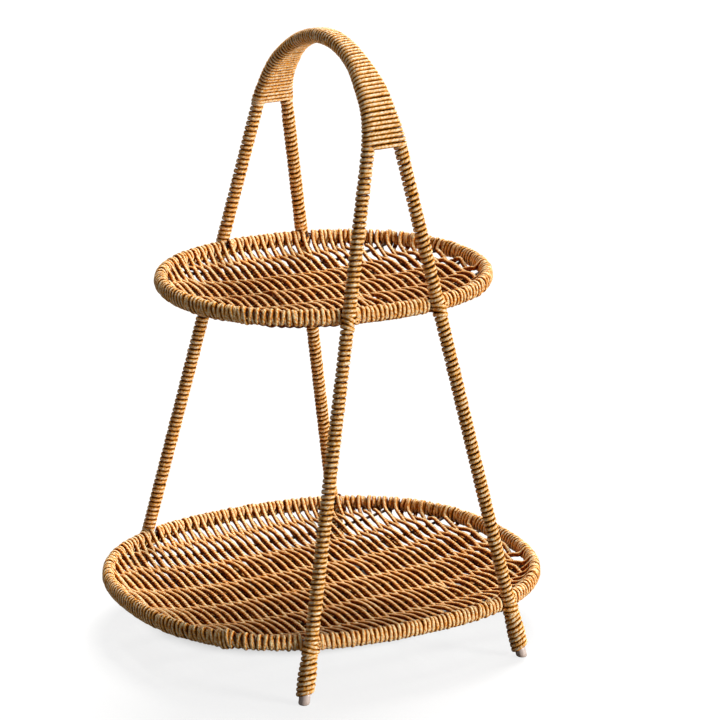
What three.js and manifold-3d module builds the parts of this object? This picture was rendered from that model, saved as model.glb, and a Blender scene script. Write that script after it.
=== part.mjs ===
// Two-tier woven tray stand with an arch handle.
// Two steel rods, each bent into an arch, lean together at the top and carry two oval trays.
// Cord is wound over the rods and over the tray rims, and woven across the trays.
// Millimetres, +Z up. The origin is on the floor under the middle of the stand,
// +X runs along the long axis of the trays and -Y is the front.

import * as THREE from "three";
import { mergeVertices } from "three/addons/utils/BufferGeometryUtils.js";
import Module from "manifold-3d";

// Driving dimensions

// Gap left between pieces that touch on the real stand
const gap = 0.3;

// Frame rods
const standHeight = 345;
const rodDiameter = 4;
const footSpread = 140.6;
const rodsMeetHeight = 328;

// Heights at which the legs bend into the handle's arch, and its winding ends
const shoulders = { front: 290, back: 295.5 };

// Foot caps
const capDiameter = 6.2;
const capHeight = 5.5;
const capFloor = 2;

// Cord wound on the rods: how far it stands off the rod
const legWrapThickness = 1.6;
const footWrapThickness = 3.1;
const handleWrapThickness = 2.2;

// Tray rims: a round hoop inside a wound cord cover
const hoopDiameter = 3.2;
const rimCordThickness = 1.65;

// Tray weave: cord strands over thin rib wires, with open slots between the wires
const strandThickness = 2.6;
const ribDiameter = 2;
const ribDrop = 1.5;
const strandDip = 2.2;
const wallCurve = 4.5;
const slotWidthShare = 0.3;
const slotToRib = 6;

// Trays: outside sizes over the wound rim, height of the hoop, corner squareness of the oval
const lowerTray = {
  name: "lower",
  length: 251,
  width: 217.5,
  level: 31.6,
  squareness: 2.38,
  depth: 12.5,
  forwardTilt: 0,
  ribCount: 6,
  slotsAcross: 8,
  rimSteps: 50,
};
const upperTray = {
  name: "upper",
  length: 196.6,
  width: 152.6,
  level: 206.4,
  squareness: 2.17,
  depth: 11.5,
  forwardTilt: 2.6,
  ribCount: 5,
  slotsAcross: 6,
  rimSteps: 40,
};

// Lashings where a leg crosses a rim
const lashingHeight = 12.4;
const lashingWidth = 12.4;
const lashingCover = 1.7;

// Facets
const rodSides = 8;
const wrapSides = 12;
const archSteps = 18;
const wireSides = 6;
const rimArcSteps = 6;
const handleEndSides = 6;
const lashingSides = 8;

// Sizes that follow from the driving dimensions

const rodRadius = rodDiameter / 2;
const hoopRadius = hoopDiameter / 2;
const ribRadius = ribDiameter / 2;
const rodBore = rodRadius + gap;
const hoopBore = hoopRadius + gap;
const legWrapRadius = rodRadius + legWrapThickness;
const footWrapRadius = rodRadius + footWrapThickness;
const handleHalfThickness = rodRadius + handleWrapThickness;
const rimHalfThickness = hoopBore + rimCordThickness;
const apexHeight = standHeight - handleHalfThickness;
const rodHalfGap = rodRadius + gap / 2;

// A leg's rod runs outside the hoop, one gap clear of it
const legSeat = hoopRadius + gap + rodRadius;

// Height of the woven sheet's middle above the rib level, over a rib and between two ribs
const crestLift = ribRadius + gap + strandThickness / 2;
const valleyLift = crestLift - strandDip;

for (const tray of [lowerTray, upperTray]) {
  tray.halfLength = tray.length / 2 - rimHalfThickness;
  tray.halfWidth = tray.width / 2 - rimHalfThickness;
  tray.dip = tray.depth - ribDrop;
  tray.tilt = THREE.MathUtils.degToRad(tray.forwardTilt);
  tray.ribPitch = (2 * tray.halfWidth) / (tray.ribCount + 1);
  tray.wallSlope = (tray.dip * wallCurve) / tray.halfWidth;
}

// Materials

const cord = new THREE.MeshStandardMaterial({ color: 0xc98d4b, roughness: 0.75, metalness: 0 });
const darkCord = new THREE.MeshStandardMaterial({ color: 0xb67a3c, roughness: 0.8, metalness: 0 });
const steel = new THREE.MeshStandardMaterial({ color: 0x5a3a22, roughness: 0.5, metalness: 0.6 });
const capPlastic = new THREE.MeshStandardMaterial({ color: 0xd8b8a4, roughness: 0.4, metalness: 0 });

// Cross-sections, counter-clockwise lists of [across, outward]

function circle(radius, sides) {
  return Array.from({ length: sides }, (_, i) => {
    const angle = (2 * Math.PI * (i + 0.5)) / sides;
    return [radius * Math.cos(angle), radius * Math.sin(angle)];
  });
}

// A bore's flats, not its corners, lie on the given radius
function bore(radius, sides) {
  return circle(radius / Math.cos(Math.PI / sides), sides);
}

// Two half circles joined by straights, for two rods side by side
function stadium(halfSpacing, radius, pointsPerEnd) {
  const flat = radius / Math.cos(Math.PI / (2 * pointsPerEnd));
  const half = Array.from({ length: pointsPerEnd }, (_, i) => {
    const angle = (Math.PI * (i + 0.5)) / pointsPerEnd - Math.PI / 2;
    return [halfSpacing + flat * Math.cos(angle), flat * Math.sin(angle)];
  });
  return [...half, ...half.map(([across, outward]) => [-across, -outward])];
}

// A channel that is open towards the tray, round the hoop and the edge of the weave
function rimSection(tray) {
  const lipDepth = rimHalfThickness - hoopBore;
  const above = -ribDrop + crestLift + strandThickness / 2 + gap;
  const underRibLevel = Math.max(ribRadius, strandThickness / 2 - valleyLift);
  const below = ribDrop + underRibLevel + gap + lipDepth * tray.wallSlope;
  const centre = (above - below) / 2;
  const halfHeight = (above + below) / 2 + rimCordThickness;
  const start = -Math.acos((above - centre) / halfHeight);
  const end = Math.PI - start;
  const arc = Array.from({ length: rimArcSteps + 1 }, (_, i) => {
    const angle = start + ((end - start) * i) / rimArcSteps;
    return [centre + halfHeight * Math.cos(angle), rimHalfThickness * Math.sin(angle)];
  });
  return [...arc, [-below, hoopBore], [above, hoopBore]];
}

// Paths: lists of stations, each a centre with two unit directions across and outward.
// The path runs along across x outward.

function station(centre, across, outward) {
  return { centre, across, outward };
}

function blend(first, second, share) {
  return station(
    first.centre.clone().lerp(second.centre, share),
    first.across.clone().lerp(second.across, share).normalize(),
    first.outward.clone().lerp(second.outward, share).normalize(),
  );
}

function pathLengths(path) {
  const lengths = [0];
  for (let i = 1; i < path.length; i++) {
    lengths.push(lengths[i - 1] + path[i].centre.distanceTo(path[i - 1].centre));
  }
  return lengths;
}

// The stretch of a path between two lengths along it
function cutPath(path, from, to) {
  const lengths = pathLengths(path);
  const at = (length) => {
    const after = Math.max(1, lengths.findIndex((value) => value >= length));
    const share = (length - lengths[after - 1]) / (lengths[after] - lengths[after - 1]);
    return blend(path[after - 1], path[after], share);
  };
  const inner = path.filter((_, i) => lengths[i] > from + gap && lengths[i] < to - gap);
  return [at(from), ...inner, at(to)];
}

function ringPoints(place, ring) {
  return ring.map(([across, outward]) =>
    place.centre.clone().addScaledVector(place.across, across).addScaledVector(place.outward, outward),
  );
}

function geometryFrom(points, triangles) {
  const geometry = new THREE.BufferGeometry();
  const position = points.flatMap((point) => [point.x, point.y, point.z]);
  geometry.setAttribute("position", new THREE.Float32BufferAttribute(position, 3));
  geometry.setIndex(triangles.flat());
  geometry.computeVertexNormals();
  return geometry;
}

// Two triangles for each facet between neighbouring rings of a path
function ringWall(lower, upper, count, inward) {
  const faces = [];
  for (let i = 0; i < count; i++) {
    const next = (i + 1) % count;
    const quad = [lower + i, lower + next, upper + next, upper + i];
    if (inward) {
      quad.reverse();
    }
    faces.push([quad[0], quad[1], quad[2]], [quad[0], quad[2], quad[3]]);
  }
  return faces;
}

// A solid swept along a path. outerAt and boreAt give the section at a share of the path.
function sweep(path, outerAt, boreAt) {
  const last = path.length - 1;
  const outers = path.map((_, i) => outerAt(i / last));
  const bores = path.map((_, i) => (boreAt ? boreAt(i / last) : []));
  const outerCount = outers[0].length;
  const boreCount = bores[0].length;
  const ringSize = outerCount + boreCount;
  const points = path.flatMap((place, i) => ringPoints(place, [...outers[i], ...bores[i]]));
  const faces = [];
  for (let i = 0; i < last; i++) {
    const lower = i * ringSize;
    const upper = lower + ringSize;
    faces.push(...ringWall(lower, upper, outerCount, false));
    faces.push(...ringWall(lower + outerCount, upper + outerCount, boreCount, true));
  }
  const flat = (ring) => ring.map(([across, outward]) => new THREE.Vector2(across, outward));
  const cap = (i) => {
    const holes = boreCount ? [flat(bores[i]).reverse()] : [];
    const index = (k) => (k < outerCount ? k : outerCount + (ringSize - 1 - k));
    const triangles = THREE.ShapeUtils.triangulateShape(flat(outers[i]), holes);
    return triangles.map((triangle) => triangle.map((k) => i * ringSize + index(k)));
  };
  faces.push(...cap(0).map(([a, b, c]) => [a, c, b]));
  faces.push(...cap(last));
  return geometryFrom(points, faces);
}

// A solid swept round a path that closes on itself
function sweepRing(path, ring) {
  const points = path.flatMap((place) => ringPoints(place, ring));
  const faces = path.flatMap((_, i) => {
    const upper = ((i + 1) % path.length) * ring.length;
    return ringWall(i * ring.length, upper, ring.length, false);
  });
  return geometryFrom(points, faces);
}

// Joining and cutting

const wasm = await Module();
wasm.setup();

function toSolid(geometry) {
  const bare = geometry.clone();
  bare.deleteAttribute("normal");
  bare.deleteAttribute("uv");
  const merged = mergeVertices(bare, 1e-4);
  return new wasm.Manifold(
    new wasm.Mesh({
      numProp: 3,
      vertProperties: new Float32Array(merged.attributes.position.array),
      triVerts: new Uint32Array(merged.index.array),
    }),
  );
}

function toGeometry(solid) {
  const mesh = solid.getMesh();
  const geometry = new THREE.BufferGeometry();
  geometry.setAttribute("position", new THREE.Float32BufferAttribute(mesh.vertProperties, 3));
  geometry.setIndex(Array.from(mesh.triVerts));
  geometry.computeVertexNormals();
  return geometry;
}

// The oval of a rim, as a superellipse through the middle of its hoop

function ovalHalfWidth(tray, x, inset = 0) {
  const share = Math.min(1, Math.abs(x) / (tray.halfLength - inset));
  return (tray.halfWidth - inset) * (1 - share ** tray.squareness) ** (1 / tray.squareness);
}

function ovalHalfLength(tray, y, inset = 0) {
  const share = Math.min(1, Math.abs(y) / (tray.halfWidth - inset));
  return (tray.halfLength - inset) * (1 - share ** tray.squareness) ** (1 / tray.squareness);
}

function ovalNormal(tray, x, y) {
  const power = tray.squareness - 1;
  const along = (Math.sign(x) * (Math.abs(x) / tray.halfLength) ** power) / tray.halfLength;
  const over = (Math.sign(y) * (Math.abs(y) / tray.halfWidth) ** power) / tray.halfWidth;
  return new THREE.Vector3(along, over, 0).normalize();
}

// Stations evenly spaced round the hoop, counter-clockwise from +X
function hoopPath(tray) {
  const fineSteps = 1440;
  const power = 2 / tray.squareness;
  const up = new THREE.Vector3(0, 0, 1);
  const fine = Array.from({ length: fineSteps + 1 }, (_, i) => {
    const angle = (2 * Math.PI * i) / fineSteps;
    const x = tray.halfLength * Math.sign(Math.cos(angle)) * Math.abs(Math.cos(angle)) ** power;
    const y = tray.halfWidth * Math.sign(Math.sin(angle)) * Math.abs(Math.sin(angle)) ** power;
    return station(new THREE.Vector3(x, y, 0), up, ovalNormal(tray, x, y));
  });
  const lengths = pathLengths(fine);
  const step = lengths[fineSteps] / tray.rimSteps;
  return Array.from({ length: tray.rimSteps }, (_, i) => fine[lengths.findIndex((length) => length >= i * step)]);
}

// Frame: the line of a rod's middle

function halfSpread(z) {
  const rounding = 0.02;
  const share = 1 - z / rodsMeetHeight;
  return rodHalfGap + ((footSpread / 2 - rodHalfGap) * (share + Math.hypot(share, rounding))) / 2;
}

// Where a level rim puts the leg that passes outside it
function seatHalfWidth(tray) {
  const legX = halfSpread(tray.level);
  let x = legX;
  for (let round = 0; round < 20; round++) {
    x = legX - legSeat * ovalNormal(tray, x, ovalHalfWidth(tray, x)).x;
  }
  const y = ovalHalfWidth(tray, x);
  return y + legSeat * ovalNormal(tray, x, y).y;
}

const lowerSeat = seatHalfWidth(lowerTray);
const upperSeat = seatHalfWidth(upperTray);
const legLean = (lowerSeat - upperSeat) / (upperTray.level - lowerTray.level);

function halfWidth(z) {
  return lowerSeat - legLean * (z - lowerTray.level);
}

function legPoint(side, end, z) {
  return new THREE.Vector3(side * halfSpread(z), end * halfWidth(z), z);
}

// Sections of a leg lie square to its lean from front to back; side is -1 left, end is -1 front
function legStation(side, end, z) {
  const across = new THREE.Vector3(end, 0, 0);
  const outward = new THREE.Vector3(0, end, legLean).normalize();
  return station(legPoint(side, end, z), across, outward);
}

function legPath(side, end, heights) {
  return heights.map((z) => legStation(side, end, z));
}

function archStation(side, angle) {
  const point = (at) => {
    const shoulder = at < Math.PI / 2 ? shoulders.front : shoulders.back;
    const z = shoulder + (apexHeight - shoulder) * Math.sin(at);
    return new THREE.Vector3(side * halfSpread(z), -halfWidth(z) * Math.cos(at), z);
  };
  const nudge = 1e-4;
  const along = point(angle + nudge).sub(point(angle - nudge)).setX(0).normalize();
  const across = new THREE.Vector3(-1, 0, 0);
  return station(point(angle), across, along.cross(across));
}

function archPath(side) {
  return Array.from({ length: archSteps + 1 }, (_, i) => archStation(side, (Math.PI * i) / archSteps));
}

// Pieces of the frame

const stand = new THREE.Group();

function add(parent, name, geometry, material) {
  const mesh = new THREE.Mesh(geometry, material.clone());
  mesh.name = name;
  parent.add(mesh);
}

const rodFootHeight = capFloor + 2 * gap;
const sides = [
  { name: "left", sign: -1 },
  { name: "right", sign: 1 },
];
const ends = [
  { name: "front", sign: -1 },
  { name: "back", sign: 1 },
];

for (const side of sides) {
  const frontFoot = legStation(side.sign, -1, rodFootHeight);
  const backFoot = legStation(side.sign, 1, rodFootHeight);
  const down = station(backFoot.centre, frontFoot.across, backFoot.outward);
  const path = [frontFoot, ...archPath(side.sign), down];
  add(stand, `rod_${side.name}`, sweep(path, () => circle(rodRadius, rodSides)), steel);
}

// One winding holds both rods together, from shoulder to shoulder
{
  const middle = archPath(0);
  const spacing = (share) => halfSpread(middle[Math.round(share * archSteps)].centre.z);
  const geometry = sweep(
    middle,
    (share) => stadium(spacing(share), handleHalfThickness, handleEndSides),
    (share) => stadium(spacing(share), rodBore, handleEndSides),
  );
  add(stand, "handle_wrap", geometry, cord);
}

// Trays stand in their own groups, so the upper one can lean forward as a whole
for (const tray of [lowerTray, upperTray]) {
  const contact = ovalHalfWidth(tray, halfSpread(tray.level));
  tray.group = new THREE.Group();
  tray.group.position.set(0, -legLean * contact * Math.sin(tray.tilt), tray.level);
  tray.group.rotation.x = tray.tilt;
  tray.group.updateMatrix();
  tray.hoop = hoopPath(tray);
  stand.add(tray.group);
}

// The point of a hoop that a leg passes, in the tray's own frame and on the stand
function crossing(tray, side, end) {
  let x = halfSpread(tray.level);
  let leg;
  let point;
  let normal;
  for (let round = 0; round < 20; round++) {
    const y = ovalHalfWidth(tray, x);
    point = new THREE.Vector3(side * x, end * y, 0);
    normal = ovalNormal(tray, point.x, point.y);
    leg = legPoint(side, end, point.clone().applyMatrix4(tray.group.matrix).z);
    x = Math.abs(leg.x) - legSeat * Math.abs(normal.x);
  }
  return { point, normal, leg };
}

// Length round the hoop, from its first station, of the place nearest to a point
function lengthAlongHoop(tray, point) {
  const ring = [...tray.hoop, tray.hoop[0]];
  const lengths = pathLengths(ring);
  let best = { distance: Infinity, length: 0 };
  for (let i = 1; i < ring.length; i++) {
    const line = new THREE.Line3(ring[i - 1].centre, ring[i].centre);
    const share = line.closestPointToPointParameter(point, true);
    const distance = line.at(share, new THREE.Vector3()).distanceTo(point);
    if (distance < best.distance) {
      best = { distance, length: lengths[i - 1] + share * (lengths[i] - lengths[i - 1]) };
    }
  }
  return best.length;
}

// Wound covers of the rims, one on each stretch between two legs
function addRim(tray) {
  add(tray.group, `${tray.name}_hoop`, sweepRing(tray.hoop, circle(hoopRadius, wireSides)), steel);
  const ring = [...tray.hoop, ...tray.hoop, tray.hoop[0]];
  const girth = pathLengths(ring).at(-1) / 2;
  const section = rimSection(tray);
  const place = (side, end) => lengthAlongHoop(tray, crossing(tray, side, end).point);
  const stretches = [
    { name: "back", from: place(1, 1), to: place(-1, 1) },
    { name: "left", from: place(-1, 1), to: place(-1, -1) },
    { name: "front", from: place(-1, -1), to: place(1, -1) },
    { name: "right", from: place(1, -1), to: place(1, 1) + girth },
  ];
  const clear = lashingWidth / 2 + gap;
  for (const stretch of stretches) {
    const path = cutPath(ring, stretch.from + clear, stretch.to - clear);
    const cover = toSolid(sweep(path, () => section)).subtract(toSolid(tray.sheetSpace));
    add(tray.group, `${tray.name}_rim_wrap_${stretch.name}`, toGeometry(cover), cord);
  }
}

// The dish of a tray: level of its rib wires, flat in the middle and curving up to the rim
function ribLevel(tray, x, y) {
  const power = tray.squareness;
  const reach = ((Math.abs(x) / tray.halfLength) ** power + (Math.abs(y) / tray.halfWidth) ** power) ** (1 / power);
  return -ribDrop - tray.dip * (1 - Math.min(1, reach) ** wallCurve);
}

function ribPlace(tray, index) {
  return (index - (tray.ribCount - 1) / 2) * tray.ribPitch;
}

// Columns of the weave as shares of its half length. A slot lies between the first and the
// second column of each pair.
function sheetColumns(tray) {
  const endShares = [0.92, 1];
  const pitch = (2 * endShares[0]) / tray.slotsAcross;
  const pairs = Array.from({ length: tray.slotsAcross }, (_, i) => {
    const middle = -endShares[0] + (i + 0.5) * pitch;
    const half = (slotWidthShare * pitch) / 2;
    return [
      { share: middle - half, slot: true },
      { share: middle + half, slot: false },
    ];
  });
  const after = endShares.map((share) => ({ share, slot: false }));
  const before = after.map((column) => ({ ...column, share: -column.share })).reverse();
  return [...before, ...pairs.flat(), ...after];
}

// Rows of the weave from front to back. It is lifted over each rib and lies low between
// two ribs, where a row of slots is. The last row follows the steep edge into the rim.
function sheetRows(tray, inset) {
  const slotEndShare = 0.945;
  const lastRowShare = 0.99;
  const slotEnd = slotEndShare * (tray.halfWidth - inset);
  const edge = lastRowShare * (tray.halfWidth - inset);
  const rows = [{ y: -edge }];
  for (let i = 0; i <= tray.ribCount; i++) {
    rows.push({ y: i === 0 ? -slotEnd : ribPlace(tray, i - 1) + slotToRib, slot: true });
    rows.push({ y: i === tray.ribCount ? slotEnd : ribPlace(tray, i) - slotToRib });
    if (i < tray.ribCount) {
      rows.push({ y: ribPlace(tray, i), overRib: true });
    }
  }
  return [...rows, { y: edge }];
}

// The woven sheet lies over the ribs and sinks between them. grow makes it larger all round
// and leaves it closed, as the space that other pieces keep clear of.
function weaveSheet(tray, grow = 0) {
  const inset = hoopBore - grow;
  const halfThickness = strandThickness / 2 + grow;
  const sheetColumn = sheetColumns(tray);
  const rows = sheetRows(tray, inset);
  const layer = (offset) =>
    rows.flatMap(({ y, overRib }) => {
      const reach = ovalHalfLength(tray, y, inset);
      return sheetColumn.map(({ share }) => {
        const x = share * reach;
        return new THREE.Vector3(x, y, ribLevel(tray, x, y) + (overRib ? crestLift : valleyLift) + offset);
      });
    });
  const points = [...layer(halfThickness), ...layer(-halfThickness)];
  const columns = sheetColumn.length;
  const under = rows.length * columns;
  const faces = [];
  const quad = (a, b, c, d) => faces.push([a, b, c], [a, c, d]);
  for (let row = 0; row < rows.length - 1; row++) {
    for (let column = 0; column < columns - 1; column++) {
      const a = row * columns + column;
      const [b, c, d] = [a + 1, a + columns + 1, a + columns];
      if (grow === 0 && rows[row].slot && sheetColumn[column].slot) {
        quad(a, b, under + b, under + a);
        quad(b, c, under + c, under + b);
        quad(c, d, under + d, under + c);
        quad(d, a, under + a, under + d);
      } else {
        quad(a, b, c, d);
        quad(under + a, under + d, under + c, under + b);
      }
    }
    const left = row * columns;
    const right = left + columns - 1;
    quad(left, left + columns, under + left + columns, under + left);
    quad(right, under + right, under + right + columns, right + columns);
  }
  for (let column = 0; column < columns - 1; column++) {
    const back = (rows.length - 1) * columns + column;
    quad(column, under + column, under + column + 1, column + 1);
    quad(back, back + 1, under + back + 1, under + back);
  }
  return geometryFrom(points, faces);
}

// Rib wires run lengthwise under the sheet, from hoop to hoop
function ribGeometry(tray, index) {
  const y = ribPlace(tray, index);
  const across = new THREE.Vector3(0, 1, 0);
  const outward = new THREE.Vector3(0, 0, 1);
  const reach = ovalHalfLength(tray, y, hoopBore);
  const tip = ovalHalfLength(tray, Math.abs(y) + ribRadius, hoopBore);
  const inner = sheetColumns(tray).map(({ share }) => share * reach).filter((x) => Math.abs(x) < tip - gap);
  const path = [-tip, ...inner, tip].map((x) => {
    return station(new THREE.Vector3(x, y, ribLevel(tray, x, y)), across, outward);
  });
  return sweep(path, () => circle(ribRadius, wireSides));
}

function addWeave(tray) {
  add(tray.group, `${tray.name}_weave`, weaveSheet(tray), darkCord);
  for (let i = 0; i < tray.ribCount; i++) {
    add(tray.group, `${tray.name}_rib_${i + 1}`, ribGeometry(tray, i), steel);
  }
}

// A lashing binds a leg to the hoop that it crosses: a knot round both, with a way through for each
function lashingGeometry(tray, side, end) {
  const cross = crossing(tray, side, end);
  const leg = legStation(side, end, cross.leg.z);
  const axis = leg.across.clone().cross(leg.outward);
  const tangent = cross.normal.clone().cross(axis).normalize();
  const outward = axis.clone().cross(tangent);
  const halfHeight = lashingHeight / 2;
  const sections = [
    { share: -1, width: rodBore + lashingCover, inset: 0 },
    { share: -0.6, width: 0.9 * (lashingWidth / 2), inset: 0.7 },
    { share: 0, width: lashingWidth / 2, inset: 1 },
    { share: 0.6, width: 0.9 * (lashingWidth / 2), inset: 0.7 },
    { share: 1, width: rodBore + lashingCover, inset: 0 },
  ];
  const path = sections.map(({ share, inset }) => {
    const centre = legPoint(side, end, cross.leg.z + share * halfHeight);
    return station(centre.addScaledVector(outward, (-inset * legSeat) / 2), tangent, outward);
  });
  const ringAt = (share) => {
    const { width, inset } = sections[Math.round(share * (sections.length - 1))];
    const depth = rodBore + lashingCover + (inset * legSeat) / 2;
    return circle(1, lashingSides).map(([over, out]) => [width * over, depth * out]);
  };
  const body = toSolid(sweep(path, ringAt));

  const heights = [-lashingHeight, lashingHeight].map((offset) => cross.leg.z + offset);
  const rodWay = toSolid(sweep(legPath(side, end, heights), () => bore(rodBore, rodSides)));

  const ring = [...tray.hoop, ...tray.hoop, tray.hoop[0]];
  const girth = pathLengths(ring).at(-1) / 2;
  const middle = girth / 2 + ((lengthAlongHoop(tray, cross.point) + girth / 2) % girth);
  const hoopStretch = cutPath(ring, middle - lashingWidth, middle + lashingWidth);
  const hoopWay = sweep(hoopStretch, () => bore(hoopBore, wireSides)).applyMatrix4(tray.group.matrix);
  const sheetWay = tray.sheetSpace.clone().applyMatrix4(tray.group.matrix);
  return toGeometry(body.subtract(rodWay).subtract(toSolid(hoopWay)).subtract(toSolid(sheetWay)));
}

for (const tray of [lowerTray, upperTray]) {
  tray.sheetSpace = weaveSheet(tray, gap);
  addRim(tray);
  addWeave(tray);
}

// Cord wraps, caps and lashings of each leg

function legWrap(side, end, from, to) {
  const outer = () => circle(legWrapRadius, wrapSides);
  return sweep(legPath(side, end, [from, to]), outer, () => bore(rodBore, rodSides));
}

// The winding under the lower tray swells over a second layer of cord
function footWrap(side, end, from, to) {
  const steps = 4;
  const heights = Array.from({ length: steps + 1 }, (_, i) => from + ((to - from) * i) / steps);
  const outer = (share) => {
    const swell = Math.sin(Math.PI * (0.12 + 0.7 * share));
    return circle(legWrapRadius + (footWrapRadius - legWrapRadius) * swell, wrapSides);
  };
  return sweep(legPath(side, end, heights), outer, () => bore(rodBore, rodSides));
}

// A cup with a rounded rim under the rod's end, cut flat where it stands on the floor
function footCap(side, end) {
  const radius = capDiameter / 2;
  const edge = 1.2;
  const profile = [
    { z: -edge, radius: radius - edge },
    { z: 0, radius: radius - edge / 4 },
    { z: edge, radius },
    { z: capHeight - edge / 2, radius },
    { z: capHeight, radius: radius - edge / 4 },
  ];
  const path = legPath(side, end, profile.map(({ z }) => z));
  const ringAt = (share) => circle(profile[Math.round(share * (profile.length - 1))].radius, wrapSides);
  const socket = sweep(legPath(side, end, [capFloor, 2 * capHeight]), () => bore(rodBore, rodSides));
  const block = 4 * capDiameter;
  const floor = new THREE.BoxGeometry(block, block, block);
  const foot = legPoint(side, end, 0);
  floor.translate(foot.x, foot.y, -block / 2);
  return toGeometry(toSolid(sweep(path, ringAt)).subtract(toSolid(socket)).subtract(toSolid(floor)));
}

for (const side of sides) {
  for (const end of ends) {
    const leg = `${end.name}_${side.name}`;
    const clear = lashingHeight / 2 + gap;
    const lower = crossing(lowerTray, side.sign, end.sign).leg.z;
    const upper = crossing(upperTray, side.sign, end.sign).leg.z;
    const piece = [side.sign, end.sign];
    add(stand, `foot_cap_${leg}`, footCap(...piece), capPlastic);
    add(stand, `foot_wrap_${leg}`, footWrap(...piece, capHeight + gap, lower - clear), cord);
    add(stand, `leg_wrap_${leg}`, legWrap(...piece, lower + clear, upper - clear), cord);
    add(stand, `shoulder_wrap_${leg}`, legWrap(...piece, upper + clear, shoulders[end.name] - gap), cord);
    add(stand, `lower_lashing_${leg}`, lashingGeometry(lowerTray, ...piece), cord);
    add(stand, `upper_lashing_${leg}`, lashingGeometry(upperTray, ...piece), cord);
  }
}

export default stand;
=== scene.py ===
"""Looks of a two-tier woven tray stand with an arch handle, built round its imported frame.

Sizes are in millimetres, as the stand is measured, and each mesh is put down in metres.
+X runs along the trays, -Y is the front, +Z is up, and the stand's feet are at z = 0.
"""

import bpy
import numpy as np
from mathutils import Matrix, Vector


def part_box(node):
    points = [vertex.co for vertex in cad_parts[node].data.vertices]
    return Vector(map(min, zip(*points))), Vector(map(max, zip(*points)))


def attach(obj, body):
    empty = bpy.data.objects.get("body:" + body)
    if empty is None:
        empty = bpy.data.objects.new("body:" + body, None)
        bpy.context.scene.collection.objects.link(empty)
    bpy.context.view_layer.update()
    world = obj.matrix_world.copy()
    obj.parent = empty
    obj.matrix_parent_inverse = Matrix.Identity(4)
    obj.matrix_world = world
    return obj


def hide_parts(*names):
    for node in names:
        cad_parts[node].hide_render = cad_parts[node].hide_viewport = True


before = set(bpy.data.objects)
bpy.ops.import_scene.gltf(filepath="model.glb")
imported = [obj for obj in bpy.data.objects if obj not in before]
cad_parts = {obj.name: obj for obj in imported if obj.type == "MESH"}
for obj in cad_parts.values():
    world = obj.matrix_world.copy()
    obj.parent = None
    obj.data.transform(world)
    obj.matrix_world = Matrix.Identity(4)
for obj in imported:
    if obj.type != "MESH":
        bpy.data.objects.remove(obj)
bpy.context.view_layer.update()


# ---- Camera ----
# The stand is seen from its front left and a little from above, from about 1.6 m away.
# The lens is a long one, so the two trays are drawn nearly in parallel.

VIEW_AZIMUTH, VIEW_ELEVATION, VIEW_ROLL = np.radians([-30.64, 16.32, 0.71])
VIEW_DISTANCE = 1559.8
LENS = 138.26
SENSOR_WIDTH = 36
NEAREST_SEEN, FARTHEST_SEEN = 0.05, 40
AIM_HEIGHT, AIM_RIGHT, AIM_UP = 170.0, 20.3, -12.8
MM_IN_METRE = 1000


def unit(vectors):
    """Vectors scaled to length 1 along their last axis."""
    return vectors / np.linalg.norm(vectors, axis=-1, keepdims=True)


back = np.array(
    [
        np.sin(VIEW_AZIMUTH) * np.cos(VIEW_ELEVATION),
        -np.cos(VIEW_AZIMUTH) * np.cos(VIEW_ELEVATION),
        np.sin(VIEW_ELEVATION),
    ]
)
level_right = unit(np.cross(-back, [0, 0, 1]))
level_near = np.cross(level_right, [0, 0, 1])
level_up = np.cross(level_right, -back)
view_right = level_right * np.cos(VIEW_ROLL) + level_up * np.sin(VIEW_ROLL)
view_up = level_up * np.cos(VIEW_ROLL) - level_right * np.sin(VIEW_ROLL)
stand_point = np.array([0, 0, AIM_HEIGHT]) + level_right * AIM_RIGHT + level_up * AIM_UP
stand_point = (stand_point + back * VIEW_DISTANCE) / MM_IN_METRE

camera = bpy.data.objects.new("camera", bpy.data.cameras.new("camera"))
bpy.context.scene.collection.objects.link(camera)
camera.data.sensor_width = SENSOR_WIDTH
camera.data.lens = LENS
camera.data.clip_start = NEAREST_SEEN
camera.data.clip_end = FARTHEST_SEEN
place = np.eye(4)
place[:3, :] = np.stack([view_right, view_up, back, stand_point], axis=1)
camera.matrix_world = Matrix(place)
bpy.context.scene.camera = camera
bpy.context.scene.view_settings.view_transform = "Standard"


# ---- Floor and light ----
# A pale matt table top with no edge in sight, and a painted shadow in a small patch under the lower
# tray.
# A low lamp shines from the right and a wider one from above and behind. The room shows
# white to the camera and adds little light of its own.

ROOM_LIGHT = 0.13
# Each lamp's light, its spread in degrees, and how far right, near and high it stands
LAMPS = {
    "side_lamp": (3.8, 18, 1.0, 0.34, 0.20),
    "ceiling_lamp": (4.15, 26, 0.15, -0.62, 1.0),
}
LAMP_COLOUR = (1.0, 0.985, 0.96)
# The floor in metres: its half length, and how far it lies under the feet
FLOOR_REACH, FLOOR_DROP = 12.0, 0.0002
# The painted shadow is an oval: its middle and half lengths in metres, and between which
# squares of the reach from its middle it fades out
SHADOW_PATCH_X, SHADOW_PATCH_Y = 0.012, 0.027
SHADOW_PATCH_HALF_LENGTH, SHADOW_PATCH_HALF_WIDTH = 0.076, 0.056
SHADOW_PATCH_FADE = (0.7, 2.2)
# Paint and glow of the floor in the painted shadow, and what is added to them outside it
SHADOW_PATCH_PAINT, PAINT_ADDED = 0.05, 0.12
SHADOW_PATCH_GLOW, GLOW_ADDED = 0.04, 0.78


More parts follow.
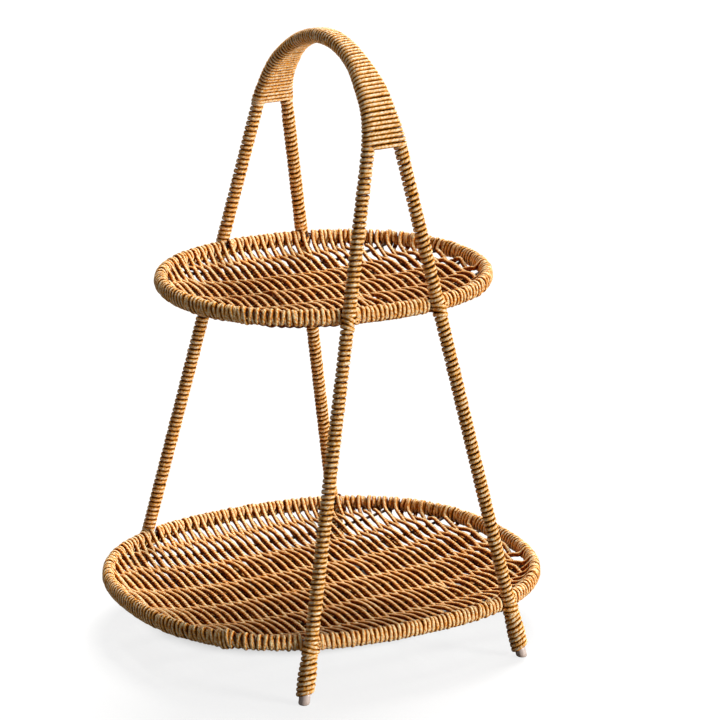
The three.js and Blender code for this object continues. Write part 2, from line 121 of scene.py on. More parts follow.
class Shade:
    """A socket of a material's nodes. Sums and products of sockets add Math nodes."""

    def __init__(self, tree, socket=None):
        self.tree = tree
        self.socket = socket

    def node(self, kind, settings=None, inputs=None, output=0):
        """Adds a node: its kind, its settings, then its sockets' values or links."""
        made = self.tree.nodes.new("ShaderNode" + kind)
        for name, value in (settings or {}).items():
            if name != "stops":
                setattr(made, name, value)
                continue
            elements = made.color_ramp.elements
            while len(elements) < len(value):
                elements.new(1)
            for element, (at, colour) in zip(elements, value):
                element.position = at
                element.color = (*colour, 1)
        for name, value in (inputs or {}).items():
            if isinstance(value, Shade):
                self.tree.links.new(value.socket, made.inputs[name])
            else:
                made.inputs[name].default_value = value
        return Shade(self.tree, made.outputs[output])

    def part(self, output):
        """Another output of the same node."""
        return Shade(self.tree, self.socket.node.outputs[output])

    def math(self, operation, *values):
        """A Math node that works on this socket first, then on the values."""
        inputs = dict(enumerate((self, *values)))
        return self.node("Math", {"operation": operation}, inputs)

    def __add__(self, other):
        return self.math("ADD", other)

    def __mul__(self, other):
        return self.math("MULTIPLY", other)

    def __sub__(self, other):
        return self.math("SUBTRACT", other)

    def __rsub__(self, other):
        return self * -1 + other

    __radd__ = __add__
    __rmul__ = __mul__

    def clip(self, low, high):
        """0 below low and 1 above high, and even between."""
        inputs = {"Value": self, "From Min": low, "From Max": high}
        return self.node("MapRange", {"clamp": True}, inputs)


world = bpy.data.worlds.new("room")
world.use_nodes = True
bpy.context.scene.world = world
room = Shade(world.node_tree)
ray = room.node("LightPath")
seen = ray.math("MAXIMUM", ray.part("Is Glossy Ray"))
seen = seen.math("MAXIMUM", ray.part("Is Transmission Ray"))
strength = seen * (1 - ROOM_LIGHT) + ROOM_LIGHT
background = world.node_tree.nodes["Background"]
background.inputs["Color"].default_value = (1, 1, 1, 1)
world.node_tree.links.new(strength.socket, background.inputs["Strength"])

for name, (light, spread, right, near, high) in LAMPS.items():
    lamp = bpy.data.objects.new(name, bpy.data.lights.new(name, "SUN"))
    lamp.data.energy = light
    lamp.data.angle = np.radians(spread)
    lamp.data.color = LAMP_COLOUR
    bpy.context.scene.collection.objects.link(lamp)
    lamp_side = unit(right * level_right + near * level_near + np.array([0, 0, high]))
    lamp_side_axis = unit(np.cross([0, 1, 0], lamp_side))
    place = np.eye(4)
    place[:3, 0] = lamp_side_axis
    place[:3, 1] = np.cross(lamp_side, lamp_side_axis)
    place[:3, 2] = lamp_side
    lamp.matrix_world = Matrix(place)


def new_finish(name):
    """A material with its node maker and its surface shader."""
    material = bpy.data.materials.new(name)
    material.use_nodes = True
    tree = material.node_tree
    return material, Shade(tree), tree.nodes["Principled BSDF"]


floor_mesh = bpy.data.meshes.new("floor")
corners = np.array([[-1, -1, 0], [1, -1, 0], [1, 1, 0], [-1, 1, 0]]) * FLOOR_REACH
corners[:, 2] = -FLOOR_DROP
floor_mesh.from_pydata(corners.tolist(), [], [(0, 1, 2, 3)])
floor = bpy.data.objects.new("floor", floor_mesh)
bpy.context.scene.collection.objects.link(floor)
floor_finish, shade, surface = new_finish("pale_floor")
surface.inputs["Roughness"].default_value = 0.9
surface.inputs["Specular IOR Level"].default_value = 0.1
spot = shade.node("SeparateXYZ", None, {0: shade.node("TexCoord", output="Object")})
long_way = (spot - SHADOW_PATCH_X) * (1 / SHADOW_PATCH_HALF_LENGTH)
short_way = (spot.part(1) - SHADOW_PATCH_Y) * (1 / SHADOW_PATCH_HALF_WIDTH)
reach = long_way * long_way + short_way * short_way
camera_ray = shade.node("LightPath")
fade = reach.clip(*SHADOW_PATCH_FADE)
fade = fade * fade * (3 - fade * 2)
# Less paint and less glow inside the oval make a painted shadow under the lower tray
paint = fade * PAINT_ADDED + SHADOW_PATCH_PAINT
shade.tree.links.new(paint.socket, surface.inputs["Base Color"])
glow = camera_ray * (fade * GLOW_ADDED + SHADOW_PATCH_GLOW)
glow = shade.node("Emission", None, {"Color": (1, 1, 1, 1), "Strength": glow})
both = shade.node("AddShader", None, {0: Shade(shade.tree, surface.outputs[0]), 1: glow})
output = shade.tree.nodes["Material Output"]
shade.tree.links.new(both.socket, output.inputs["Surface"])
floor_mesh.materials.append(floor_finish)


# ---- Rods, hoops and rib wires ----
# Round steel, bent cold and spot welded where it crosses, painted thin in dark brown.
# It shows only through gaps in the cord, scuffed where cord has been pulled over it.


def wire_finish():
    """Brown paint, paler and rougher in worn patches, with faint drawing lines."""
    material, shade, surface = new_finish("brown_wire")
    place = shade.node("TexCoord", output="Object")
    worn = shade.node("TexNoise", None, {"Vector": place, "Scale": 140.0, "Detail": 4.0})
    fine = shade.node("TexNoise", None, {"Vector": place, "Scale": 900.0, "Detail": 2.0})
    stops = [(0.35, (0.050, 0.022, 0.010)), (0.62, (0.105, 0.048, 0.020)), (0.8, (0.20, 0.11, 0.055))]
    colour = shade.node("ValToRGB", {"stops": stops}, {"Fac": worn})
    bump = {"Strength": 0.3, "Distance": 0.0001, "Height": fine}
    links = shade.tree.links
    links.new(colour.socket, surface.inputs["Base Color"])
    links.new((worn * 0.3 + 0.3).socket, surface.inputs["Roughness"])
    links.new(shade.node("Bump", None, bump).socket, surface.inputs["Normal"])
    surface.inputs["Metallic"].default_value = 0.35
    return material


brown_wire = wire_finish()
for name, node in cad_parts.items():
    if name.startswith("rod_") or name.endswith("_hoop") or "_rib_" in name:
        node.data.materials.clear()
        node.data.materials.append(brown_wire)


# ---- Leg windings ----
# Twisted paper cord, about 2.5 mm across, wound tight round each rod from the handle to
# the feet. Every turn sits against the last, flattened where it bears on the rod.

ROD_RADIUS = 2.0
# How far a leg stands out from the middle at the floor, and how much less for each mm up
LEG_REACH, LEG_LEAN = 103.8, 0.14246
# Height at which the two rods meet, their spread at the floor, half the distance of their
# middles where they touch, and how softly they bend there
RODS_MEET, FOOT_SPREAD, ROD_HALF_GAP, BEND = 328.0, 140.6, 2.15, 0.02
SHOULDERS = {"front": 290.0, "back": 295.5}
TURN_PITCH = 2.8
CORD_HALF_WIDTH, CORD_HALF_THICKNESS = 1.3, 0.97
# How far the cord presses into the rod, and how unevenly it climbs along it
CORD_SUNK, CLIMB_WANDER = 0.1, 0.16
# How unevenly it bears on the rod: steps between changes, and their size
RADIUS_WANDER = (14, 0.07)
# Phase of a slanting turn against the start of the winding
TILT_PHASE = 0.6
# Length of cord in mm in which its fibres, and its plies against them, turn once
FIBRE_LAY, PLY_LAY = 7.0, 3.0
# What the crest of the cord, as a cube and as a square, adds to its light as a painted
# highlight, and what the noises of fibre, mottle and slow tone add
CREST_HIGHLIGHT_CUBE, CREST_HIGHLIGHT_SQUARE = 0.3, 0.55
FIBRE_LIGHT, MOTTLE_LIGHT, TONE_LIGHT = 1.9, 0.6, 0.45
# Colours from painted shade in hollows over tan and amber to painted crest highlights, and their
# lights
WOUND_COLOURS = ((0.09, 0.022, 0.001), (0.80, 0.30, 0.022), (0.95, 0.47, 0.090), (1.0, 0.88, 0.62))
COLOUR_LIGHTS = (0.08, 0.38, 0.66, 0.97)
# Flecks: the noise over which they set in, how well they cover, and how much of the
# tan's red, green and blue is left in them
FLECK_SETS_IN, FLECK_COVER, FLECK_TAN = (0.53, 0.62), 0.66, (0.42, 0.26, 0.16)
# The wound cord is a little paler high up: how much lower cord of the upper tray counts,
# which is not at all here, and the heights in metres between which the paling sets in
HANDLE_BAND = (0, 0.262, 0.285)
# A height in metres between the two trays
BETWEEN_TRAYS = 0.1
# Sizes of a cord's last ring and the one before it, as shares of its full section
LAST_RING, NEXT_RING = 0.45, 0.85
# How much further along the pattern each cord of a piece starts, in mm: an even step and
# one that grows with the square of the cord's number and starts again at a limit
CORD_STEP, CORD_STEP_GROWTH, CORD_STEP_LIMIT = 37.0, 0.9, 40
# Bake map: length of a cord's strip, its margin and width as shares of a row, then
# where the end caps lie, with their half length and their half width in rows
STRIP_LENGTH, STRIP_MARGIN, STRIP_WIDTH = 0.98, 0.06, 0.88
CAP_ROWS, CAP_MAP_AT, CAP_MAP_REACH, CAP_MAP_RISE = (0.3, 0.7), 0.99, 0.006, 0.12
SIDES = (("left", -1), ("right", 1))
ENDS = (("front", -1), ("back", 1))


def cord_finish(name, colours, hollow, twist, pale_lift, band):
    """Twisted paper cord. Fibres run in a slow spiral round the cord, from UV map lay:
    its first value is the length in mm along the cord and its second the turn round it,
    with the crest of the cord at a quarter. A sine of the turn sets the light, which runs
    through the colours as painted shade and highlight: it stays at the deep colour, a painted
    shade on the sides and in the hollows, up to hollow, rises to the pale colour, a painted
    highlight, at the crest, and twist adds light and dark plies. Above a band of heights the
    colour is lifted paler by a set amount and the plies fade. band holds how much lower cord
    on the upper tray counts, and where the band starts and ends."""
    material, shade, surface = new_finish(name)
    _, tan, _, _ = colours
    lay = shade.node("SeparateXYZ", None, {0: shade.node("UVMap", {"uv_map": "lay"})})
    along, around = lay, lay.part(1)
    turn = (around + along * (1 / FIBRE_LAY)) * (2 * np.pi)
    cosine, sine = turn.math("COSINE"), turn.math("SINE")
    fibre_at = shade.node("CombineXYZ", None, {0: cosine, 1: sine, 2: along * 0.35})
    fleck_at = shade.node("CombineXYZ", None, {0: cosine, 1: sine, 2: along * 0.5})
    mottle_at = shade.node("CombineXYZ", None, {0: cosine * 0.3, 1: sine * 0.3, 2: along * 0.4})
    tone_at = shade.node("CombineXYZ", None, {0: along * 0.06})
    fibre = shade.node("TexNoise", None, {"Vector": fibre_at, "Scale": 2.6, "Detail": 3.0})
    fleck = shade.node("TexNoise", None, {"Vector": fleck_at, "Scale": 2.9, "Detail": 1.0})
    mottle = shade.node("TexNoise", None, {"Vector": mottle_at, "Scale": 1.0, "Detail": 1.0})
    tone = shade.node("TexNoise", None, {"Vector": tone_at, "Scale": 1.0, "Detail": 1.0})
    # Painted shade and highlight: the cord's sides and hollows are painted deep, its crest pale
    crest = (around * (2 * np.pi)).math("SINE").clip(hollow, 0.97)
    ply = (turn + along * (2 * np.pi / PLY_LAY)).math("SINE")
    light = crest * crest * (crest * CREST_HIGHLIGHT_CUBE + CREST_HIGHLIGHT_SQUARE)
    light = light + (fibre - 0.5) * FIBRE_LIGHT + (mottle - 0.5) * MOTTLE_LIGHT
    place = shade.node("TexCoord", output="Object")
    height = shade.node("SeparateXYZ", None, {0: place}).part(2)
    tray_gap, band_low, band_high = band
    height = height - height.math("GREATER_THAN", BETWEEN_TRAYS) * tray_gap
    pale_share = height.clip(band_low, band_high)
    light = light + (tone - 0.5) * TONE_LIGHT
    light = light + ply * twist * (1 - pale_share) + pale_share * pale_lift
    stops = list(zip(COLOUR_LIGHTS, colours))
    colour = shade.node("ValToRGB", {"stops": stops}, {"Fac": light})
    spot = fleck.clip(*FLECK_SETS_IN) * FLECK_COVER
    brown = (*(part * left for part, left in zip(tan, FLECK_TAN)), 1)
    mix = {0: spot, 6: colour, 7: brown}
    flecked = shade.node("Mix", {"data_type": "RGBA"}, mix, output=2)
    bump = {"Strength": 0.8, "Distance": 0.00035, "Height": fibre + fleck * 0.3 + ply * 0.1}
    links = shade.tree.links
    links.new(flecked.socket, surface.inputs["Base Color"])
    links.new((0.66 - crest * 0.18 + (fibre - 0.5) * 0.3).socket, surface.inputs["Roughness"])
    links.new((crest * 0.12).socket, surface.inputs["Coat Weight"])
    links.new(shade.node("Bump", None, bump).socket, surface.inputs["Normal"])
    surface.inputs["Specular IOR Level"].default_value = 0.04
    surface.inputs["Coat Roughness"].default_value = 0.38
    return material


def new_piece(name, points, quads, caps, maps, finish):
    """Puts down a mesh of quads and end caps. maps holds each UV map's corner values."""
    mesh = bpy.data.meshes.new(name)
    corners = np.concatenate([quads.ravel(), caps.ravel()])
    sizes = np.concatenate([np.full(len(quads), 4), np.full(len(caps), caps.shape[1])])
    mesh.vertices.add(len(points))
    mesh.vertices.foreach_set("co", (points / MM_IN_METRE).astype(np.float32).ravel())
    mesh.loops.add(len(corners))
    mesh.loops.foreach_set("vertex_index", corners.astype(np.int32))
    mesh.polygons.add(len(sizes))
    starts = np.concatenate([[0], np.cumsum(sizes)[:-1]])
    mesh.polygons.foreach_set("loop_start", starts.astype(np.int32))
    mesh.polygons.foreach_set("use_smooth", np.ones(len(sizes), bool))
    for map_name, values in maps.items():
        layer = mesh.uv_layers.new(name=map_name)
        layer.data.foreach_set("uv", values.astype(np.float32).ravel())
    mesh.update(calc_edges=True)
    mesh.materials.append(finish)
    piece = bpy.data.objects.new(name, mesh)
    bpy.context.scene.collection.objects.link(piece)
    return piece


def cord_piece(name, centres, crests, half_width, half_thickness, finish, sides=10, rows=1):
    """Cords as tubes round centre lines. centres and crests are (cords, steps, 3).
    Each ring is an ellipse: half_thickness towards the crest, half_width across it.
    UV map OFBake lays every cord out as level strips, rows of them for each cord."""
    cords, steps, _ = centres.shape
    tangents = unit(np.gradient(centres, axis=1))
    across = unit(np.cross(crests, tangents))
    upward = np.cross(tangents, across)
    turn = 2 * np.pi * np.arange(sides) / sides
    taper = np.ones(steps)
    taper[[0, -1]] = LAST_RING
    taper[[1, -2]] = NEXT_RING
    wide = (np.broadcast_to(half_width, (cords, steps)) * taper)[..., None, None]
    thick = (np.broadcast_to(half_thickness, (cords, steps)) * taper)[..., None, None]
    rings = across[:, :, None, :] * wide * np.cos(turn)[:, None]
    rings = rings + upward[:, :, None, :] * thick * np.sin(turn)[:, None]
    points = (centres[:, :, None, :] + rings).reshape(-1, 3)

    index = np.arange(cords * steps * sides).reshape(cords, steps, sides)
    onward = np.roll(index, -1, axis=2)
    quads = [index[:, :-1], onward[:, :-1], onward[:, 1:], index[:, 1:]]
    quads = np.stack(quads, axis=-1).reshape(-1, 4)
    caps = np.concatenate([index[:, 0, ::-1], index[:, -1]])

    length = np.linalg.norm(np.diff(centres, axis=1), axis=2)
    length = np.concatenate([np.zeros((cords, 1)), np.cumsum(length, axis=1)], axis=1)
    order = np.arange(cords)[:, None]
    length = length + CORD_STEP * order + (CORD_STEP_GROWTH * order**2) % CORD_STEP_LIMIT
    near = length[:, :-1, None]
    far = length[:, 1:, None]
    low = np.arange(sides) / sides
    high = low + 1 / sides
    corner_turns = (low, high, high, low)
    shape = (cords, steps - 1, sides)
    along = [np.broadcast_to(value, shape) for value in (near, near, far, far)]
    around = [np.broadcast_to(value, shape) for value in corner_turns]
    lay = np.stack([np.stack(along, -1), np.stack(around, -1)], -1).reshape(-1, 2)
    cap_turn = np.concatenate([np.tile(low[::-1], (cords, 1)), np.tile(low, (cords, 1))])
    cap_length = np.repeat(np.concatenate([length[:, 0], length[:, -1]])[:, None], sides, 1)
    lay = np.concatenate([lay, np.stack([cap_length, cap_turn], -1).reshape(-1, 2)])

    row_steps = int(np.ceil((steps - 1) / rows))
    step = np.arange(steps - 1)
    row = (step // row_steps)[None, :, None] + rows * np.arange(cords)[:, None, None]
    spot = (step % row_steps)[None, :, None]
    total = rows * cords
    strip = [STRIP_LENGTH * (spot + more) / row_steps for more in (0, 0, 1, 1)]
    strip = [np.broadcast_to(value, shape) for value in strip]
    level = [(row + STRIP_MARGIN + STRIP_WIDTH * value) / total for value in corner_turns]
    level = [np.broadcast_to(value, shape) for value in level]
    bake = np.stack([np.stack(strip, -1), np.stack(level, -1)], -1).reshape(-1, 2)
    cap_row = rows * np.arange(cords)[:, None] + np.array(CAP_ROWS)
    cap_centre = np.concatenate([cap_row[:, 0], cap_row[:, 1]])[:, None] / total
    ring = 2 * np.pi * cap_turn
    cap_along = CAP_MAP_AT + CAP_MAP_REACH * np.cos(ring)
    cap_level = cap_centre + CAP_MAP_RISE / total * np.sin(ring)
    bake = np.concatenate([bake, np.stack([cap_along, cap_level], -1).reshape(-1, 2)])
    return new_piece(name, points, quads, caps, {"OFBake": bake, "lay": lay}, finish)


def drift(count, every, size, rng):
    """Slow wander: random values every so many steps, joined by smooth curves."""
    knots = rng.normal(0, size, int(count / every) + 3)
    at = np.arange(count) / every
    knot = at.astype(int)
    share = at - knot
    share = share * share * (3 - 2 * share)
    return knots[knot] * (1 - share) + knots[knot + 1] * share


def half_spread(z):
    """How far a rod stands from the middle plane: it falls evenly to where the rods
    meet, and a hyperbola rounds the bend."""
    share = 1 - z / RODS_MEET
    fall = (share + np.hypot(share, BEND)) / 2
    return ROD_HALF_GAP + (FOOT_SPREAD / 2 - ROD_HALF_GAP) * fall


def leg_point(side, end, z):
    """The middle of a leg's rod at height z."""
    reach = LEG_REACH - LEG_LEAN * z
    return np.stack([side * half_spread(z), end * reach, z + 0 * reach], axis=-1)


def wound_leg(side, end, low, high, rng, pitch=TURN_PITCH, swell=None, tilt=0.0):
    """A cord's centre line wound round a leg: a point goes round the rod's middle in a
    circle while it climbs one pitch a turn. swell adds to the radius along the way."""
    steps_per_turn = 20
    turns = max(2, round((high - low) / pitch))
    count = turns * steps_per_turn + 1
    share = np.arange(count) / (count - 1)
    angle = 2 * np.pi * turns * share
    climb = low + (high - low) * share + drift(count, steps_per_turn, CLIMB_WANDER, rng)
    climb = climb + tilt * np.cos(angle + TILT_PHASE)
    middle = leg_point(side, end, climb)
    direction = unit(leg_point(side, end, np.array(high)) - leg_point(side, end, np.array(low)))
    first = unit(np.cross([0, 1, 0], direction))
    second = np.cross(direction, first)
    radius = ROD_RADIUS + CORD_HALF_THICKNESS - CORD_SUNK
    radius = radius + drift(count, *RADIUS_WANDER, rng)
    if swell is not None:
        radius = radius + swell(share)
    outward = np.cos(angle)[:, None] * first + np.sin(angle)[:, None] * second
    return middle + radius[:, None] * outward, outward


wound_cord = cord_finish(
    "wound_cord", WOUND_COLOURS, hollow=0.24, twist=0, pale_lift=0.05, band=HANDLE_BAND
)
# Each winding's seed, and how far it goes past the top of its sleeve in the frame
WINDINGS = {"leg_wrap": (10, -0.3), "shoulder_wrap": (20, 1.6)}
WINDING_START = 0.6
legs = [(f"{end}_{side}", x, y) for side, x in SIDES for end, y in ENDS]
for number, (leg, side, end) in enumerate(legs):
    for node, (seed, past_top) in WINDINGS.items():
        lowest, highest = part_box(f"{node}_{leg}")
        rng = np.random.default_rng(seed + number)
        bottom = lowest.z * MM_IN_METRE + WINDING_START
        top = highest.z * MM_IN_METRE + past_top
        line, outward = wound_leg(side, end, bottom, top, rng)
        piece = cord_piece(
            f"{node.replace('wrap', 'winding')}_{leg}",
            line[None],
            outward[None],
            CORD_HALF_WIDTH,
            CORD_HALF_THICKNESS,
            wound_cord,
            rows=11,
        )
        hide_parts(f"{node}_{leg}")
        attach(piece, "root")


# ---- Foot windings ----
# Below the lower tray the cord goes on down and comes back over itself, so each foot
# swells like a spindle. The outer turns slant, and the last one is tucked in at the cap.

FOOT_SEED = 30
FOOT_PITCH, FOOT_TILT = 2.75, 1.0
# How far the winding goes past its sleeve in the frame, below it and above it
FOOT_BELOW, FOOT_ABOVE = 0.7, 0.4
# The spindle is a part of a sine's half wave, from its start on, raised to a power
FOOT_SWELL, SPINDLE_START, SPINDLE_PART, SPINDLE_POWER = 1.15, 0.26, 0.62, 1.2
FOOT_HALF_WIDTH = CORD_HALF_WIDTH + 0.08
FOOT_HALF_THICKNESS = CORD_HALF_THICKNESS + 0.25


def spindle(share):
    """How far the outer cord stands off: a power of a sine along the winding."""
    wave = np.sin(np.pi * (SPINDLE_START + SPINDLE_PART * share))
    return FOOT_SWELL * wave**SPINDLE_POWER


for number, (leg, side, end) in enumerate(legs):
    lowest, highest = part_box(f"foot_wrap_{leg}")
    rng = np.random.default_rng(FOOT_SEED + number)
    line, outward = wound_leg(
        side,
        end,
        lowest.z * MM_IN_METRE - FOOT_BELOW,
        highest.z * MM_IN_METRE + FOOT_ABOVE,
        rng,
        pitch=FOOT_PITCH,
        swell=spindle,
        tilt=FOOT_TILT,
    )
    piece = cord_piece(
        f"foot_winding_{leg}",
        line[None],
        outward[None],
        FOOT_HALF_WIDTH,
        FOOT_HALF_THICKNESS,
        wound_cord,
        rows=4,
    )
    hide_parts(f"foot_wrap_{leg}")
    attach(piece, "root")


# ---- Foot caps ----
# Small soft cups of milky plastic, pushed over the rods' ends so that the steel doesn't
# scratch the table. They stand flat on the floor and have a rounded lower edge.

CAP_RADIUS, CAP_TOP, CAP_EDGE = 3.1, 6.2, 0.9
# The cap's wall above its rounded lower edge: heights, and its radius at each
WALL_HEIGHTS = [2.2, 3.6, 5.0, 5.9, CAP_TOP, CAP_TOP]
WALL_RADII = [3.1, 3.06, 3.08, 3.0, 2.7, 1.2]
EDGE_STEPS, CAP_SIDES = 6, 32
# Height in metres up to which the cap is darker
DARKENING_TOP = 0.0035


def cap_finish():
    """Milky plastic with a soft mottle from the mould, darker near the floor."""
    material, shade, surface = new_finish("milky_cap")
    place = shade.node("TexCoord", output="Object")
    mottle = shade.node("TexNoise", None, {"Vector": place, "Scale": 420.0, "Detail": 3.0})
    height = shade.node("SeparateXYZ", None, {0: place}).part(2)
    low_darkening = 1 - height.clip(0.0, DARKENING_TOP)
    light = (mottle - 0.5) * 0.5 + 0.75 - low_darkening * 0.35
    stops = [(0.2, (0.32, 0.22, 0.17)), (0.6, (0.58, 0.46, 0.40)), (1.0, (0.70, 0.60, 0.55))]
    colour = shade.node("ValToRGB", {"stops": stops}, {"Fac": light})
    bump = {"Strength": 0.25, "Distance": 0.0001, "Height": mottle}
    links = shade.tree.links
    links.new(colour.socket, surface.inputs["Base Color"])
    links.new((mottle * 0.2 + 0.28).socket, surface.inputs["Roughness"])
    links.new(shade.node("Bump", None, bump).socket, surface.inputs["Normal"])
    return material


milky_cap = cap_finish()
for leg, side, end in legs:
    # A profile of radius against height, turned round the leg's line
    arc = np.linspace(0, np.pi / 2, EDGE_STEPS)
    heights = np.concatenate([CAP_EDGE * (1 - np.cos(arc)), WALL_HEIGHTS])
    radii = np.concatenate([CAP_RADIUS - CAP_EDGE * (1 - np.sin(arc)), WALL_RADII])
    turn = 2 * np.pi * np.arange(CAP_SIDES) / CAP_SIDES
    ring = np.stack([np.cos(turn), np.sin(turn), 0 * turn], axis=-1)
    rings = leg_point(side, end, heights)[:, None, :] + radii[:, None, None] * ring
    index = np.arange(rings.shape[0] * CAP_SIDES).reshape(-1, CAP_SIDES)
    onward = np.roll(index, -1, axis=1)
    quads = np.stack([index[:-1], onward[:-1], onward[1:], index[1:]], axis=-1).reshape(-1, 4)
    caps = np.stack([index[0, ::-1], index[-1]])
    piece = new_piece(f"cap_{leg}", rings.reshape(-1, 3), quads, caps, {}, milky_cap)
    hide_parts(f"foot_cap_{leg}")
    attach(piece, "root")


# ---- Handle winding ----
# One long cord wound round both rods at once, over the top from shoulder to shoulder.
# It lies flat where it spans the rods, which spread towards both ends of the handle.

HANDLE_SEED = 41
APEX = 340.8
HANDLE_PITCH = 2.42
HANDLE_HALF_WIDTH = HANDLE_PITCH / 2 - 0.06
HANDLE_HALF_THICKNESS = CORD_HALF_THICKNESS + 0.15
# How much lower the winding ends at the back, and how far it keeps from either end
BACK_DROP, HANDLE_END_GAP = 1.5, 1.1
# How unevenly the cord lies along the handle, and how unevenly it bears on the rods:
# steps between changes, and their size
HANDLE_WANDER, HANDLE_RADIUS_WANDER = (24, 0.13), (17, 0.06)
# The winding is fuller round the rods' bend: by how much, at what height, over what reach
BEND_FULLNESS, BEND_HEIGHT, BEND_REACH = 1.2, 322, 9


def handle_line(rng):
    """Centre line of the handle's cord. Its carrier is half an ellipse in the YZ plane;
    round it the cord follows a stadium, two half circles joined by straights."""
    angle = np.linspace(0, np.pi, 4000)
    shoulder = np.where(angle < np.pi / 2, SHOULDERS["front"], SHOULDERS["back"] - BACK_DROP)
    z = shoulder + (APEX - shoulder) * np.sin(angle)
    y = -(LEG_REACH - LEG_LEAN * z) * np.cos(angle)
    along = np.concatenate([[0], np.cumsum(np.hypot(np.diff(y), np.diff(z)))])
    steps_per_turn = 32
    turns = int(along[-1] / HANDLE_PITCH)
    count = turns * steps_per_turn + 1
    length = np.linspace(HANDLE_END_GAP, along[-1] - HANDLE_END_GAP, count)
    length = length + drift(count, *HANDLE_WANDER, rng)
    middle_y = np.interp(length, along, y)
    middle_z = np.interp(length, along, z)
    outward_y = -np.interp(length, along, np.gradient(z, along))
    outward_z = np.interp(length, along, np.gradient(y, along))
    fullness = BEND_FULLNESS * np.exp(-(((middle_z - BEND_HEIGHT) / BEND_REACH) ** 2))
    spacing = half_spread(middle_z) + fullness
    # Four parts of a turn: the straight above, a half circle, the straight below, a half
    # circle. share runs through each, bend is the turn of the cord's outward direction.
    part = np.arange(count) % steps_per_turn / steps_per_turn * 4
    share = part % 1
    quarters = [part < 1, part < 2, part < 3]
    bend = np.pi * np.select(quarters, [0, share, 1], 1 + share)
    over = np.select(quarters, [2 * share - 1, 1, 1 - 2 * share], -1)
    radius = ROD_RADIUS + HANDLE_HALF_THICKNESS + drift(count, *HANDLE_RADIUS_WANDER, rng)
    x = over * spacing + radius * np.sin(bend)
    lift = radius * np.cos(bend)
    line = np.stack([x, middle_y + lift * outward_y, middle_z + lift * outward_z], axis=-1)
    crest = [np.sin(bend), np.cos(bend) * outward_y, np.cos(bend) * outward_z]
    return line, np.stack(crest, axis=-1)


line, crest = handle_line(np.random.default_rng(HANDLE_SEED))
piece = cord_piece(
    "handle_winding",
    line[None],
    crest[None],
    HANDLE_HALF_WIDTH,
    HANDLE_HALF_THICKNESS,
    wound_cord,
    rows=20,
)
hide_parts("handle_wrap")
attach(piece, "root")


# ---- Woven trays ----
# Cord strands run from front to back over and under the rib wires, next to each other in
# opposite step. Each is turned round the hoop at both ends, from above or from below.

STRAND_SEED = 50
# The dish: how far the rib wires lie under the hoop, and the power of its wall's curve
RIB_DROP, WALL_CURVE = 1.5, 4.5
STRAND_PITCH, STRAND_SHIFT = 2.61, 0.4
STRAND_HALF_WIDTH, STRAND_HALF_THICKNESS = 1.3, 1.22
# How far inside the hoop a strand leaves the dish, and how far the last ones keep from
# the ends of that oval
RIM_INSET, OVAL_END_GAP = 5.0, 0.6
# Height of a strand over a rib, over the hoop and under it, and how near the hoop a rib
# may be for a strand to mind it
OVER_RIB, OVER_HOOP, UNDER_HOOP = 2.3, 2.6, -2.4
RIB_CLEARANCE = 7.0
# Steps along a strand's body, and along its loop at each end
BODY_STEPS, LOOP_STEPS = 128, 15
# Strands sway sideways and heave up and down: steps between changes, and their size.
# Towards the rim that fades, over a distance from it.
SWAY, HEAVE = (18, 0.26), (14, 0.22)
STILL_AT_RIM = 14
# A loose place: its reach along X and Y, and how much of a strand's bow is also a rise
LOOSE_X, LOOSE_Y, LOOSE_RISE = 4.5, 7.0, 0.7
# The ellipse round the hoop, its half sizes and its drop, and in degrees from straight
# up where a strand that comes over or under the hoop starts on it and how far it goes
LOOP_REACH, LOOP_HEIGHT, LOOP_DROP = 2.6, 3.8, 0.44
OVER_START, OVER_TURN = -78, 262
UNDER_START, UNDER_TURN = 204, -318
# Share of that turn where a leg is in the way, which is within a distance of its middle
TURN_AT_LEG, LEG_BLOCKS = 0.30, 4.6
# A strand that comes over reaches further in and higher. Loops also vary and lean.
INNER_REACH, OVER_RISE = 0.45, 0.3
LOOP_VARIES, LOOP_LEAN = 0.03, 0.4
# Strands are fuller away from the rim, from a distance on and over a reach
STRAND_SWELL, SWELL_FROM, SWELL_REACH = 0.08, 8, 34.0
# They are fuller still towards both ends of a tray, most at the left
LEFT_SWELL = 0.26
RIGHT_SWELL = 0.4 * LEFT_SWELL
END_SLOPE, END_START = 4, 2.7
# They are pulled thinner at the back right, where the weave is more open
BACK_SLIM, SLIM_X, SLIM_Y, SLIM_REACH = 0.13, 10, 5, 45
# Distance between the middles of a rod and the hoop that it touches
LEG_TO_HOOP = 3.9
# Colours for the woven strands, likewise from painted shade in hollows to painted crest highlights
WOVEN_COLOURS = ((0.12, 0.018, 0.001), (0.62, 0.165, 0.007), (0.95, 0.38, 0.040), (1.0, 0.82, 0.46))
# The strands are paler at the rims: how much lower cord of the upper tray counts, and
# the heights between which the paling sets in at the lower tray, all in metres
RIM_BAND = (0.1748, 0.024, 0.033)

# For each tray: half sizes of its hoop's superellipse and its power, depth of the dish,
# level of the hoop, its lean to the front in degrees and shift to the back, number of rib
# wires, loose places with how far strands bow there, and raised loops of the rim
TRAYS = {
    "lower": dict(
        half_length=121.95,
        half_width=105.2,
        power=2.38,
        dip=11.0,
        level=31.6,
        tilt=0.0,
        shift=0.0,
        ribs=6,
        loose=[(-20, -28, 2.4), (-48, -18, -2.0), (38, 20, 2.0), (62, -40, -1.8)],
        knobs=[(9.6, 105.1), (-100.0, -69.7)],
    ),
    "upper": dict(
        half_length=94.75,
        half_width=72.75,
        power=2.17,
        dip=10.0,
        level=206.4,
        tilt=2.6,
        shift=-0.455,
        ribs=5,
        loose=[(-30, 8, 1.8), (16, -22, -2.0), (44, 14, 1.8)],
        knobs=[(72.0, 50.3), (-75.4, -47.2)],
    ),
}


